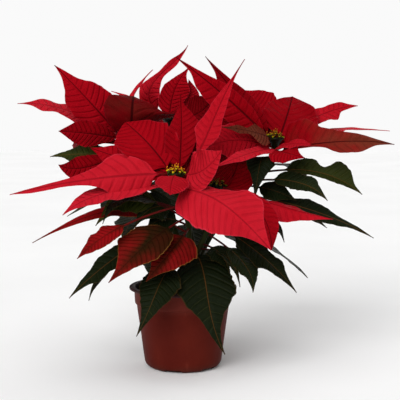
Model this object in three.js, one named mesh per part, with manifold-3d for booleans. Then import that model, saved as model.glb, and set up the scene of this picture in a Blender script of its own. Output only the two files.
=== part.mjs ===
// A potted poinsettia: red bract heads and green leaves on five leafy stems in a nursery pot.
// Millimetres, +Z up. The origin is the middle of the pot's foot, on the surface that it stands on.
import * as THREE from "three";
import { mergeVertices } from "three/addons/utils/BufferGeometryUtils.js";
import Module from "manifold-3d";

const wasm = await Module();
wasm.setup();

// Pot: a thin thermoformed nursery pot with a broad lip and a straight band under it.
const POT_HEIGHT = 90;
const POT_FOOT_RADIUS = 43;
const POT_LIP_RADIUS = 60;
const POT_LIP_DROP = 3;
const POT_BAND_TOP_RADIUS = 54.5;
const POT_BAND_HEIGHT = 17;
const POT_LEDGE = 2;
const POT_WALL = 1.5;
const POT_SIDES = 30;
const POT_FOOT_FLAT_RADIUS = 36;
const POT_FOOT_CURVE = 6.5;
const NOTCH_HEIGHT = 3;
const NOTCH_WIDTH = 18;
const NOTCH_COUNT = 6;
const NOTCH_TURN = 0.26;
const DRAIN_RADIUS = 4;
const DRAIN_SIDES = 8;
const DRAIN_CIRCLE_RADIUS = 24;

// Every two pieces that touch keep this gap.
const SEAT_GAP = 0.3;

// Soil and trunk.
const SOIL_TOP = 80;
const HOLE_DEPTH = 40;
const TRUNK_RADIUS = 7;
const TRUNK_TOP = 116;
const TRUNK_SIDES = 12;
const STEM_RADIUS = 3.6;
const STEM_SIDES = 8;
const STEM_STEPS = 6;

// Bract heads: a short receptacle on each stem, with the small true flowers on top of it.
const RECEPTACLE_HEIGHT = 22;
const RECEPTACLE_FOOT_RADIUS = 3.8;
const RIM_RADIUS = 10.5;
const RIM_THICKNESS = 3;
const RIM_SIDES = 10;
const LOW_BRACT_DROP = 8;
const CYATHIA_RADIUS = 7;
const CYATHIA_BUDS = 4;
const BUD_RADIUS = 2.3;
const BUD_STRETCH = 1.5;
const BUD_SIDES = 5;
const BUD_RINGS = 3;

// Blades.
const BLADE_THICKNESS = 0.8;
const STALK_WIDTH = 2.4;
const STALK_THICKNESS = 2;
const TIP_WIDTH = 0.9;
// A blade whose stalk is a smaller share of it than this widens straight from its foot.
const SHORT_STALK = 0.11;
const WAVE_SHARE = 0.07;
const WAVE_TURNS = 2;

// Each stem runs through these points from inside the trunk to its receptacle's foot.
const STEMS = {
  front: [[6, -3, 104], [5, -5, 120], [7, -16, 155], [2, -34, 182], [-6, -50, 197]],
  low: [[12, -5, 104], [14, -7, 120], [24, -9, 145], [33, -8, 164], [38, -5, 180]],
  right: [[15, 1, 104], [18, 2, 120], [38, 10, 156], [72, 20, 204], [104, 30, 232]],
  left: [[5, 4, 104], [3, 6, 120], [-14, 10, 160], [-40, 16, 206], [-59, 20, 232]],
  back: [[12, 6, 104], [12, 10, 120], [4, 28, 168], [-10, 55, 225], [-16, 70, 254]],
};

// Outline of each kind of blade: the share of it that is stalk, then its half widths left and
// right of the midrib at even steps from stalk to tip, in tenths of half the blade's width.
const FORMS = {
  "plain": [0.10, [5, 8.5, 10, 8.5, 5.5, 2.2], [5, 8.5, 10, 8.5, 5.5, 2.2]],
  "waved": [0.10, [6, 10, 8, 6.5, 7, 2], [6, 9, 9, 6, 6.5, 2]],
  "round": [0.08, [5, 8, 10, 10, 8, 4], [5, 8, 10, 10, 8, 4]],
  "fan": [0.06, [8.5, 9.5, 10, 10, 8, 4.5], [9, 10, 10, 8, 5, 2.5]],
  "long": [0.06, [7, 7.5, 3, 1.5, 1.2, 1.2], [7, 10, 6, 3, 1.8, 1.6]],
  "spear": [0.08, [6, 8.5, 10, 9.3, 4.5, 1.4], [7, 10, 9.3, 6.7, 3.3, 1.7]],
  "kite": [0.05, [8, 9, 8.5, 6, 3.3, 1], [4.5, 7.5, 9.5, 10, 6, 1.6]],
  "dagger": [0.18, [5.5, 10, 8, 6, 3.7, 1], [5.5, 10, 8, 6, 3.7, 1]],
  "tailed": [0.06, [8, 10, 5.5, 3, 3.5, 1.4], [8, 10, 6.5, 3, 3.5, 1.4]],
  "hooked": [0.06, [8, 10, 10, 9.6, 7.2, 1.6], [4, 6, 6.5, 5.5, 3.2, 1.4]],
  "sided": [0.06, [10, 11, 12, 8, 4.5, 1], [2.6, 3.8, 4.1, 3.5, 2, 0.9]],
  "strap": [0.04, [10, 9, 8, 9, 7.5, 4], [10, 9, 8, 9, 7.5, 4]],
  "drawn": [0.22, [7, 10, 8, 4, 2.8, 1.5], [6, 9, 9, 6, 2.8, 1.5]],
  "apron": [0.03, [5, 6, 7, 9, 9.5, 4], [9, 10, 10, 9.5, 7, 3]],
  "drape": [0.05, [4, 5, 5.8, 5.8, 5.6, 4.2], [6, 10, 10, 9, 7.5, 4.5]],
  "wing": [0.1, [9.5, 10, 6, 4, 2.5, 1], [1.5, 1.5, 3.5, 8, 7, 2]],
  "horned": [0.12, [5, 8, 8, 7, 7, 3], [5, 7, 8, 10, 3, 2]],
  "broad": [0.05, [5, 7, 7, 7, 6, 3], [10, 10, 9.5, 9, 7.5, 4]],
  "late": [0.48, [7, 9, 10, 8, 6, 2.5], [6, 10, 8, 9, 5, 2.5]],
  "stalked": [0.28, [6, 9, 10, 8, 5, 2], [6, 9, 10, 8, 5, 2]],
  "leaf": [0.24, [7, 10, 9.5, 7.5, 4.5, 1.8], [7, 10, 9.5, 7.5, 4.5, 1.8]],
  "lobed": [0.22, [8, 10, 7.5, 8, 4, 1.6], [7, 9, 9.5, 6, 4, 1.6]],
  "crested": [0.22, [6, 7.5, 4, 9.5, 8, 2], [4, 4, 4, 5, 4, 1.8]],
  "heart": [0.14, [7.2, 9, 9.6, 7.6, 3.5, 1.3], [7.4, 9.4, 9.6, 6.8, 3.4, 1.4]],
  "slanted": [0.24, [6, 7.5, 7.5, 6, 3.5, 1.5], [6, 9.5, 10.5, 9.5, 5, 1.8]]
};

// Blades as [rib points, width, direction that the upper face looks in, fold, twist, form].
const BRACTS = {
  "front": [
    [[[-12, -50, 212], [-92, -72, 214], [-175, -85, 199]], 62, [0, -10, 6], -24, 50, "long"],
    [[[-11, -44, 217], [-32, -38, 245], [-50, -24, 262], [-62, -12, 272]], 60, [2, -10, 4], 6, 0, "fan"],
    [[[-13, -45, 214], [-59, -28, 231], [-101, -12, 244]], 42, [0, -10, 5], 0, 0, "plain"],
    [[[-3, -41, 218], [-1, -32, 262], [-2, -14, 301]], 39, [0, -10, 2], 10, 0, "kite"],
    [[[3, -45, 218], [24, -42, 253], [40, -38, 290], [66, -42, 338]], 29, [-3, -10, 3], 14, 20, "dagger"],
    [[[3, -53, 215], [22, -74, 223], [41, -88, 244]], 46, [-4, -10, 4], 12, 0, "fan"],
    [[[-7, -59, 212], [-10, -79, 211], [-11, -100, 200]], 36, [0, -4, 10], -10, 0, "fan"],
    [[[-6, -57, 203], [25, -96, 200], [54, -120, 183], [89, -124, 147]], 66, [0, -9, 4], -25, 50, "apron"],
    [[[-13, -50, 205], [-76, -66, 200], [-120, -94, 179]], 40, [-1, -5, 10], 0, 0, "plain"],
    [[[-6, -50, 205], [5, -34, 224], [16, -24, 262]], 50, [0, -10, 4], 0, 0, "fan"],
    [[[-12, -46, 216], [-27, -43, 222], [-43, -34, 228]], 38, [0, -7, 7], 0, 0, "round"]
  ],
  "low": [
    [[[44, -12, 196], [82, -44, 178], [94, -64, 139]], 30, [3, -10, 3], 0, 0, "round"],
    [[[46, -6, 198], [105, -28, 182], [161, -40, 169]], 36, [0, -6, 10], -30, 0, "plain"],
    [[[38, -5, 190], [58, 14, 216], [63, 22, 247]], 52, [-3, -10, 3], 10, 0, "fan"],
    [[[38, -5, 190], [33, 16, 222], [42, 26, 253]], 44, [1, -10, 3], 10, 0, "fan"],
    [[[40, 4, 200], [54, 48, 208], [62, 88, 194]], 44, [1, 2, 10], 0, 0, "plain"],
    [[[36, 4, 197], [20, 45, 208], [5, 85, 198]], 44, [0, 3, 10], 0, 0, "plain"],
    [[[31, -3, 198], [2, 4, 206], [-24, 12, 200]], 30, [-2, -2, 10], 0, 0, "plain"]
  ],
  "right": [
    [[[98, 26, 248], [50, 8, 297], [-8, 2, 343]], 38, [-3, -10, 3], 8, 0, "hooked"],
    [[[101, 35, 251], [68, 38, 293], [25, 32, 345]], 60, [-2, -10, 2], 10, 0, "sided"],
    [[[103, 38, 251], [86, 74, 285], [71, 105, 309]], 56, [0, -10, 6], 8, 0, "round"],
    [[[107, 34, 252], [119, 50, 278], [128, 80, 301]], 78, [0, -9, 7], 8, 0, "broad"],
    [[[112, 34, 250], [161, 60, 280], [204, 72, 290]], 28, [0, -8, 8], 0, 0, "horned"],
    [[[102, 21, 235], [135, 0, 246], [182, -14, 251], [228, -26, 248]], 58, [0, -10, 6], 30, 0, "wing"],
    [[[112, 32, 245], [176, 62, 262], [240, 62, 261]], 30, [0, -1, 10], 0, 0, "plain"],
    [[[104, 22, 241], [76, -18, 239], [34, -52, 225]], 18, [1, -6, 9], 0, 0, "strap"],
    [[[108, 22, 242], [119, -8, 248], [138, -30, 248]], 16, [0, -8, 6], 0, 0, "strap"],
    [[[96, 20, 240], [111, -15, 239], [131, -34, 234]], 34, [1, -10, 4], 0, 0, "plain"],
    [[[96, 25, 242], [62, 3, 252], [24, -15, 243]], 44, [0, -9, 4], -10, 0, "round"],
    [[[104, 38, 242], [120, 88, 256], [125, 130, 244]], 52, [0, 3, 10], 0, 0, "plain"],
    [[[110, 36, 240], [150, 76, 250], [186, 110, 240]], 48, [2, 2, 10], 0, 0, "plain"],
    [[[98, 38, 242], [86, 88, 258], [70, 130, 248]], 50, [-1, 3, 10], 0, 0, "plain"],
    [[[97, 22, 246], [77, 5, 261], [41, -9, 267]], 32, [1, -8, 7], 0, 0, "tailed"],
    [[[104, 30, 240], [105, 42, 252], [106, 47, 268]], 30, [0, -10, 4], 0, 0, "fan"]
  ],
  "left": [
    [[[-76, 12, 255], [-104, 0, 296], [-141, 5, 334]], 48, [1, -10, 3], 8, 0, "spear"],
    [[[-79, 18, 254], [-127, 10, 284], [-181, -2, 292]], 34, [0, -6, 10], 0, 0, "waved"],
    [[[-78, 8, 250], [-101, -8, 259], [-134, -18, 262]], 29, [0, -10, -2], 0, 0, "round"],
    [[[-79, 12, 241], [-106, 4, 222], [-136, -8, 225]], 26, [0, -10, -1], 0, 0, "round"],
    [[[-56, 6, 253], [-55, -9, 283], [-54, 6, 300]], 104, [2, -10, 3], -6, 0, "drape"],
    [[[-72, 23, 256], [-60, 44, 296], [-35, 48, 331]], 18, [-10, -5, 4], 10, 0, "plain"],
    [[[-76, 22, 250], [-100, 60, 264], [-135, 105, 258]], 50, [-2, 2, 10], 0, 0, "plain"],
    [[[-71, 23, 250], [-72, 75, 262], [-85, 125, 250]], 52, [0, 3, 10], 0, 0, "plain"],
    [[[-79, 18, 242], [-106, 56, 250], [-132, 88, 236]], 44, [-2, 1, 10], 0, 0, "plain"]
  ],
  "back": [
    [[[-22, 65, 274], [-51, 66, 293], [-84, 64, 307]], 20, [0, -3, 10], 0, 0, "plain"],
    [[[-20, 76, 275], [-40, 66, 306], [-19, 62, 333], [5, 58, 359]], 28, [-2, -10, 2], 0, 60, "tailed"],
    [[[-16, 62, 275], [-10, 54, 308], [8, 48, 335]], 34, [0, -10, 3], 0, 0, "kite"],
    [[[-9, 66, 274], [6, 60, 299], [6, 56, 320]], 26, [0, -10, 3], 0, 0, "plain"],
    [[[-9, 63, 270], [18, 52, 282], [37, 46, 303]], 40, [0, -10, 3], 0, 0, "round"],
    [[[-16, 78, 268], [-20, 120, 280], [-35, 165, 262]], 52, [0, 4, 10], 0, 0, "plain"],
    [[[-10, 75, 268], [22, 108, 282], [52, 140, 270]], 48, [1, 3, 10], 0, 0, "plain"],
    [[[-22, 75, 266], [-55, 106, 278], [-88, 140, 262]], 46, [-2, 3, 10], 0, 0, "plain"],
    [[[-14, 79, 275], [-14, 104, 298], [-12, 126, 318]], 44, [0, 8, 10], 0, 0, "round"]
  ]
};

const LEAVES = {
  "front": [
    [[[8, -8, 131], [-17, -50, 113], [-29, -72, 90], [-47, -82, 51]], 44, [-4, -10, 4], 0, 0, "leaf"],
    [[[12, -6, 135], [22, -46, 115], [29, -74, 79], [45, -82, 32]], 64, [1, -10, 5], 0, 0, "heart"],
    [[[4, -22, 166], [-53, -48, 193], [-83, -62, 166]], 34, [-4, -4, 10], 0, 0, "leaf"],
    [[[0, -24, 179], [-54, -38, 190], [-86, -44, 172]], 34, [-2, -8, 6], 0, 0, "leaf"],
    [[[4, -18, 172], [-26, -36, 182], [-50, -52, 162]], 38, [-2, -10, 6], 0, 0, "leaf"],
    [[[6, -14, 160], [-18, -32, 168], [-38, -40, 158]], 36, [-1, -10, 6], 0, 0, "leaf"]
  ],
  "low": [
    [[[34, -4, 160], [84, -35, 130], [122, -50, 91]], 32, [4, -8, 8], 0, 0, "lobed"],
    [[[30, -3, 148], [65, -45, 123], [75, -60, 93]], 30, [6, -8, 5], 0, 0, "leaf"],
    [[[24, -2, 138], [40, -37, 132], [50, -52, 113]], 28, [2, -8, 8], 0, 0, "leaf"],
    [[[22, -2, 132], [48, -45, 128], [61, -66, 100]], 14, [6, -6, 6], 0, 0, "leaf"],
    [[[36, -3, 170], [104, 18, 127], [141, 14, 96]], 26, [4, -1, 10], 0, 0, "leaf"]
  ],
  "right": [
    [[[82, 22, 215], [147, 0, 217], [196, -15, 193]], 38, [0, -10, 8], 20, 0, "crested"],
    [[[75, 20, 207], [126, -10, 206], [157, -25, 187]], 28, [0, -9, 9], 10, 0, "lobed"],
    [[[70, 18, 200], [100, 6, 196], [126, 0, 185]], 28, [0, -8, 8], 0, 0, "leaf"],
    [[[64, 16, 193], [146, 4, 173], [211, -6, 144]], 28, [0, -8, 9], 0, 0, "drawn"],
    [[[60, 16, 188], [122, 35, 173], [164, 30, 151]], 26, [0, -3, 10], 0, 0, "leaf"],
    [[[54, 14, 180], [95, 8, 165], [113, 2, 138]], 22, [4, -3, 10], 0, 0, "leaf"],
    [[[58, 16, 186], [92, 66, 170], [108, 90, 142]], 42, [2, 3, 10], 0, 0, "lobed"],
    [[[84, 25, 220], [120, 60, 222], [150, 88, 200]], 44, [2, 2, 10], 0, 0, "leaf"],
    [[[34, 9, 152], [70, 62, 132], [82, 90, 95]], 40, [2, 2, 10], 0, 0, "lobed"],
    [[[92, 26, 222], [86, -6, 231], [78, -22, 188]], 34, [-2, -10, 4], 0, 0, "leaf"]
  ],
  "left": [
    [[[-35, 11, 190], [-81, 4, 190], [-128, -5, 168]], 28, [-2, -2, 10], 0, 0, "leaf"],
    [[[-30, 10, 184], [-64, 5, 185], [-96, -10, 158]], 36, [-4, -8, 8], 0, 0, "leaf"],
    [[[-14, 8, 162], [-78, -20, 121], [-122, -40, 83]], 30, [-4, -8, 6], 0, 0, "lobed"],
    [[[-8, 7, 152], [-75, -6, 118], [-103, -22, 77]], 22, [-6, -4, 6], 0, 0, "leaf"],
    [[[-60, 15, 228], [-108, 32, 235], [-152, 36, 232]], 34, [0, -8, 8], 0, 0, "lobed"],
    [[[-42, 12, 200], [-75, 55, 190], [-100, 85, 158]], 44, [-2, 3, 10], 0, 0, "leaf"],
    [[[-25, 10, 178], [-58, 66, 162], [-75, 110, 120]], 46, [-1, 3, 10], 0, 0, "lobed"],
    [[[-10, 7, 156], [-56, 50, 132], [-70, 90, 92]], 40, [-3, 3, 10], 0, 0, "leaf"]
  ],
  "back": [
    [[[-8, 48, 210], [-20, 96, 188], [-25, 135, 140]], 48, [0, 4, 10], 0, 0, "lobed"],
    [[[2, 26, 166], [5, 80, 136], [10, 115, 90]], 44, [0, 4, 10], 0, 0, "leaf"],
    [[[-4, 40, 195], [34, 85, 182], [55, 125, 140]], 46, [1, 3, 10], 0, 0, "lobed"],
    [[[-12, 58, 230], [-40, 100, 226], [-62, 140, 196]], 44, [-1, 3, 10], 0, 0, "leaf"],
    [[[-10, 55, 226], [20, 105, 224], [30, 150, 196]], 44, [1, 3, 10], 0, 0, "leaf"],
    [[[11, 12, 128], [34, 70, 112], [46, 98, 66]], 42, [2, 6, 8], 0, 0, "heart"],
    [[[11, 10, 124], [-26, 66, 108], [-40, 94, 62]], 44, [-2, 6, 8], 0, 0, "heart"]
  ]
};

const TURNING = {
  "turning_leaf_left": [[[4, -22, 172], [-34, -74, 148], [-75, -86, 108]], 52, [-3, -10, 6], 0, 0, "slanted"],
  "turning_leaf_middle": [[[8, -14, 158], [-8, -64, 142], [-37, -78, 108]], 50, [-1, -10, 5], 0, 0, "leaf"],
  "red_leaf_long": [[[7, -14, 150], [-30, -18, 171], [-78, -34, 177], [-157, -60, 146]], 24, [-1, -7, 10], 0, 0, "stalked"],
  "red_leaf_short": [[[1, -34, 186], [-62, -70, 165], [-107, -86, 133]], 26, [-2, -8, 9], 0, 0, "late"]
};

const MATERIALS = {
  pot: { color: 0x8a3a2c, roughness: 0.5 },
  soil: { color: 0x2a1d16, roughness: 1 },
  bark: { color: 0x5d6a3a, roughness: 0.8 },
  leaf: { color: 0x22381c, roughness: 0.5 },
  bract: { color: 0xb4121f, roughness: 0.55 },
  turning: { color: 0x7a2620, roughness: 0.55 },
  bud: { color: 0xa9a12c, roughness: 0.6 },
};

const part = new THREE.Group();

function toSolid(geometry) {
  const plain = geometry.index ? geometry.toNonIndexed() : geometry.clone();
  plain.deleteAttribute("normal");
  plain.deleteAttribute("uv");
  const merged = mergeVertices(plain, 1e-4);
  return new wasm.Manifold(new wasm.Mesh({
    numProp: 3,
    vertProperties: new Float32Array(merged.attributes.position.array),
    triVerts: new Uint32Array(merged.index.array),
  }));
}

function toGeometry(solid) {
  const mesh = solid.getMesh();
  const geometry = new THREE.BufferGeometry();
  geometry.setAttribute("position", new THREE.BufferAttribute(mesh.vertProperties, 3));
  geometry.setIndex(new THREE.BufferAttribute(mesh.triVerts, 1));
  return geometry;
}

function addPiece(name, solid, materialName) {
  const material = new THREE.MeshStandardMaterial({ ...MATERIALS[materialName], metalness: 0 });
  const mesh = new THREE.Mesh(toGeometry(solid), material);
  mesh.name = name;
  part.add(mesh);
}

// A solid turned round the vertical axis through the origin; outline points are [radius, height].
function turned(outline, sides) {
  const points = outline.map(([radius, height]) => new THREE.Vector2(radius, height));
  const geometry = new THREE.LatheGeometry(points, sides);
  geometry.rotateX(Math.PI / 2);
  return toSolid(geometry);
}

function uprightRod(radius, bottom, top, sides, x = 0, y = 0) {
  const geometry = new THREE.CylinderGeometry(radius, radius, top - bottom, sides);
  geometry.rotateX(Math.PI / 2);
  geometry.translate(x, y, (top + bottom) / 2);
  return toSolid(geometry);
}

function tube(curve, radius) {
  const section = new THREE.Shape();
  section.absarc(0, 0, radius, 0, 2 * Math.PI, false);
  const geometry = new THREE.ExtrudeGeometry(section, {
    steps: STEM_STEPS,
    curveSegments: STEM_SIDES,
    extrudePath: curve,
    bevelEnabled: false,
  });
  return toSolid(geometry);
}

function vector(point) {
  return new THREE.Vector3(...point);
}

// The rib: the polynomial curve through evenly spaced points.
function ribPoint(points, t) {
  const last = points.length - 1;
  const result = new THREE.Vector3();
  points.forEach((point, i) => {
    let weight = 1;
    for (let j = 0; j <= last; j += 1) {
      if (j !== i) {
        weight *= (t * last - j) / (i - j);
      }
    }
    result.addScaledVector(vector(point), weight);
  });
  return result;
}

// One cross-section of a blade: six points round the left edge, the midrib and the right edge.
// The place is t along the rib and u along the blade proper; halves are its half widths.
function bladeSection([points, , face, fold, twist], t, u, halves, thickness, phase) {
  const step = 0.001;
  const centre = ribPoint(points, t);
  const along = ribPoint(points, t + step).sub(ribPoint(points, t - step)).normalize();
  const up = vector(face);
  up.addScaledVector(along, -up.dot(along)).normalize();
  const left = up.clone().cross(along);
  const turn = THREE.MathUtils.degToRad(twist * (t - 0.5));
  left.applyAxisAngle(along, turn);
  up.applyAxisAngle(along, turn);

  const folded = THREE.MathUtils.degToRad(fold);
  const edge = (half, side) => {
    const wave = WAVE_SHARE * half * Math.sin(2 * Math.PI * WAVE_TURNS * u + phase * side);
    return centre.clone()
      .addScaledVector(left, side * half * Math.cos(folded))
      .addScaledVector(up, half * Math.sin(folded) + wave);
  };
  const upper = [edge(halves[0], 1), centre.clone(), edge(halves[1], -1)];
  const lower = upper.map((point) => point.clone().addScaledVector(up, -thickness)).reverse();
  return [...upper, ...lower];
}

// A blade on its stalk as one closed solid. Its rib starts at the foot, inside what carries it.
function blade([points, width, ...shape], foot, phase) {
  const row = [[foot.toArray(), ...points.slice(1)], width, ...shape];
  const [stalk, left, right] = FORMS[shape.at(-1)];
  const stalkHalves = [STALK_WIDTH / 2, STALK_WIDTH / 2];
  const sections = [bladeSection(row, 0, 0, stalkHalves, STALK_THICKNESS, phase)];
  if (stalk > SHORT_STALK) {
    sections.push(bladeSection(row, stalk, 0, stalkHalves, STALK_THICKNESS, phase));
  }
  left.forEach((share, i) => {
    const u = (i + 1) / (left.length + 1);
    const halves = [share, right[i]].map((tenths) => tenths / 10 * width / 2);
    sections.push(bladeSection(row, stalk + u * (1 - stalk), u, halves, BLADE_THICKNESS, phase));
  });
  sections.push(bladeSection(row, 1, 1, [TIP_WIDTH / 2, TIP_WIDTH / 2], BLADE_THICKNESS, phase));

  const ring = sections[0].length;
  const triangles = [];
  for (let i = 0; i + 1 < sections.length; i += 1) {
    for (let j = 0; j < ring; j += 1) {
      const k = (j + 1) % ring;
      const [a, b, c, d] = [i * ring + j, i * ring + k, (i + 1) * ring + k, (i + 1) * ring + j];
      const lowerFace = j >= ring / 2;
      triangles.push(...(lowerFace ? [a, b, d, b, c, d] : [a, b, c, a, c, d]));
    }
  }
  const cap = (first, order) => {
    for (const [a, b, c] of [[0, 1, 4], [0, 4, 5], [1, 2, 3], [1, 3, 4]]) {
      triangles.push(...(order > 0 ? [first + a, first + b, first + c] : [first + a, first + c, first + b]));
    }
  };
  cap(0, -1);
  cap((sections.length - 1) * ring, 1);
  const geometry = new THREE.BufferGeometry();
  geometry.setAttribute("position",
    new THREE.Float32BufferAttribute(sections.flat().flatMap((point) => point.toArray()), 3));
  geometry.setIndex(triangles);
  return toSolid(geometry);
}

function nearestOn(curve, point) {
  const places = curve.getPoints(60);
  return places.reduce((best, place) => (
    place.distanceTo(point) < best.distanceTo(point) ? place : best));
}

function join(solids) {
  return solids.reduce((whole, solid) => whole.add(solid));
}

function potSolid() {
  const bandFoot = POT_HEIGHT - POT_LIP_DROP - POT_BAND_HEIGHT;
  const ledgeRadius = POT_BAND_TOP_RADIUS - 1 - POT_LEDGE;
  const shell = turned([
    [0, 0],
    [POT_FOOT_FLAT_RADIUS, 0],
    [(POT_FOOT_FLAT_RADIUS + 2 * POT_FOOT_RADIUS) / 3, POT_FOOT_CURVE / 3],
    [POT_FOOT_RADIUS, POT_FOOT_CURVE],
    [ledgeRadius, bandFoot],
    [POT_BAND_TOP_RADIUS - 1, bandFoot + POT_LEDGE],
    [POT_BAND_TOP_RADIUS, POT_HEIGHT - POT_LIP_DROP],
    [POT_LIP_RADIUS - 1, POT_HEIGHT - POT_LIP_DROP],
    [POT_LIP_RADIUS, POT_HEIGHT - POT_LIP_DROP / 2],
    [POT_LIP_RADIUS - 0.5, POT_HEIGHT],
    [POT_BAND_TOP_RADIUS - POT_WALL, POT_HEIGHT],
    [POT_BAND_TOP_RADIUS - 1 - POT_WALL, bandFoot + POT_LEDGE],
    [ledgeRadius - POT_WALL, bandFoot],
    [POT_FOOT_RADIUS - POT_WALL, NOTCH_HEIGHT + 2 * POT_WALL],
    [0, NOTCH_HEIGHT + 2 * POT_WALL],
  ], POT_SIDES);
  const cuts = [];
  for (let i = 0; i < NOTCH_COUNT; i += 1) {
    const angle = NOTCH_TURN + i * 2 * Math.PI / NOTCH_COUNT;
    const notch = new THREE.BoxGeometry(NOTCH_WIDTH, NOTCH_WIDTH, 2 * NOTCH_HEIGHT);
    notch.translate(POT_FOOT_RADIUS, 0, 0);
    notch.rotateZ(angle);
    cuts.push(toSolid(notch));
    const drainAngle = angle + Math.PI / NOTCH_COUNT;
    cuts.push(uprightRod(DRAIN_RADIUS, -1, POT_WALL * 6, DRAIN_SIDES,
      DRAIN_CIRCLE_RADIUS * Math.cos(drainAngle), DRAIN_CIRCLE_RADIUS * Math.sin(drainAngle)));
  }
  return cuts.reduce((whole, cut) => whole.subtract(cut), shell);
}

function soilSolid(trunkAxis) {
  const inset = POT_WALL + SEAT_GAP;
  const bandFoot = POT_HEIGHT - POT_LIP_DROP - POT_BAND_HEIGHT;
  const plug = turned([
    [0, NOTCH_HEIGHT + 2 * POT_WALL + SEAT_GAP],
    [POT_FOOT_RADIUS - inset, NOTCH_HEIGHT + 2 * POT_WALL + SEAT_GAP],
    [POT_BAND_TOP_RADIUS - 1 - POT_LEDGE - inset, bandFoot],
    [POT_BAND_TOP_RADIUS - 1 - inset, bandFoot + POT_LEDGE],
    [POT_BAND_TOP_RADIUS - 1 - inset, SOIL_TOP],
    [0, SOIL_TOP],
  ], POT_SIDES);
  const hole = uprightRod(TRUNK_RADIUS + SEAT_GAP, SOIL_TOP - HOLE_DEPTH, SOIL_TOP + 1, TRUNK_SIDES,
    trunkAxis[0], trunkAxis[1]);
  return plug.subtract(hole);
}

function receptacle([x, y, z]) {
  const foot = z + SEAT_GAP;
  const top = foot + RECEPTACLE_HEIGHT;
  return turned([
    [0, foot],
    [RECEPTACLE_FOOT_RADIUS, foot],
    [RECEPTACLE_FOOT_RADIUS + 1, top - 2 * RIM_THICKNESS],
    [RIM_RADIUS, top - RIM_THICKNESS],
    [RIM_RADIUS, top],
    [0, top],
  ], RIM_SIDES).translate([x, y, 0]);
}

// Upright bracts start in the receptacle's rim, on the side they grow to; lower ones on its axis.
function bractFoot([x, y, z], root) {
  const rimMiddle = z + SEAT_GAP + RECEPTACLE_HEIGHT - RIM_THICKNESS / 2;
  if (root[2] < rimMiddle - LOW_BRACT_DROP) {
    return new THREE.Vector3(x, y, Math.max(root[2], z + RECEPTACLE_FOOT_RADIUS));
  }
  const out = new THREE.Vector3(root[0] - x, root[1] - y, 0).setLength(RIM_RADIUS - STALK_WIDTH / 2);
  return out.add(new THREE.Vector3(x, y, rimMiddle));
}

function cyathiaSolid([x, y, z]) {
  const foot = z + RECEPTACLE_HEIGHT + 2 * SEAT_GAP;
  const pieces = [uprightRod(CYATHIA_RADIUS - 1, foot, foot + BUD_RADIUS, BUD_SIDES, x, y)];
  for (let i = 0; i < CYATHIA_BUDS; i += 1) {
    const inner = i === 0;
    const angle = i * 2 * Math.PI / (CYATHIA_BUDS - 1);
    const reach = inner ? 0 : CYATHIA_RADIUS - 1;
    const bud = new THREE.SphereGeometry(BUD_RADIUS, BUD_SIDES, BUD_RINGS);
    bud.rotateX(Math.PI / 2);
    bud.scale(1, 1, BUD_STRETCH);
    bud.translate(x + reach * Math.cos(angle), y + reach * Math.sin(angle), foot + (inner ? 2 : 1.5) * BUD_RADIUS);
    pieces.push(toSolid(bud));
  }
  return join(pieces);
}

const trunkAxis = [10, 1];
const trunk = uprightRod(TRUNK_RADIUS, SOIL_TOP - HOLE_DEPTH + SEAT_GAP, TRUNK_TOP, TRUNK_SIDES, ...trunkAxis);
const trunkSeat = uprightRod(TRUNK_RADIUS + SEAT_GAP, SOIL_TOP, TRUNK_TOP + SEAT_GAP, TRUNK_SIDES, ...trunkAxis);

addPiece("pot", potSolid(), "pot");
addPiece("soil", soilSolid(trunkAxis), "soil");
addPiece("trunk", trunk, "bark");

const stemCurves = {};
for (const [place, points] of Object.entries(STEMS)) {
  const curve = new THREE.CatmullRomCurve3(points.map(vector));
  stemCurves[place] = curve;
  const [x, y, top] = points.at(-1);
  const leaves = LEAVES[place].map((row, i) => blade(row, nearestOn(curve, vector(row[0][0])), i));
  const aboveTop = uprightRod(3 * STEM_RADIUS, top, top + 2 * STEM_RADIUS, STEM_SIDES, x, y);
  const leafyStem = join([tube(curve, STEM_RADIUS), ...leaves]).subtract(trunkSeat).subtract(aboveTop);
  addPiece(`leafy_stem_${place}`, leafyStem, "leaf");

  const head = [x, y, top];
  const bracts = BRACTS[place].map((row, i) => blade(row, bractFoot(head, row[0][0]), i));
  addPiece(`bracts_${place}`, join([receptacle(head), ...bracts]), "bract");
  addPiece(`cyathia_${place}`, cyathiaSolid(head), "bud");
}

const frontSeat = tube(stemCurves.front, STEM_RADIUS + SEAT_GAP);
Object.entries(TURNING).forEach(([name, row], i) => {
  const leaf = blade(row, nearestOn(stemCurves.front, vector(row[0][0])), i).subtract(frontSeat);
  addPiece(name, leaf, "turning");
});

export default part;
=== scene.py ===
"""The looks of a potted poinsettia: fine blades, pot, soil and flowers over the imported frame."""

import math
import random

import bpy
import bmesh
from mathutils import Matrix, Vector, noise


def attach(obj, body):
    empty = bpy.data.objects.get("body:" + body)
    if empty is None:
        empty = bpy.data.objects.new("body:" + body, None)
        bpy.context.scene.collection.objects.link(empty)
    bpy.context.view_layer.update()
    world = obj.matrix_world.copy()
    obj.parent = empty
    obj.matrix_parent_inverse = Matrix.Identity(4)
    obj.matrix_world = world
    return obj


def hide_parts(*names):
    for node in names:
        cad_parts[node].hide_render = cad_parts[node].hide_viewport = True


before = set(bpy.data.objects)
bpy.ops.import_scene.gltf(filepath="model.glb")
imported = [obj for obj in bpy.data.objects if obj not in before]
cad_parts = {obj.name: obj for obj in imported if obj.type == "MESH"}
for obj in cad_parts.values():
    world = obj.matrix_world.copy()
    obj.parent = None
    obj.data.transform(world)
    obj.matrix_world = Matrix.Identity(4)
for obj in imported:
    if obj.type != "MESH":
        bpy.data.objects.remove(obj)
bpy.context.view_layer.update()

MM = 0.001
PLAIN_TONE = (0, 0, 0, 1)
INNER_TONE = (1, 1, 1, 1)

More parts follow.
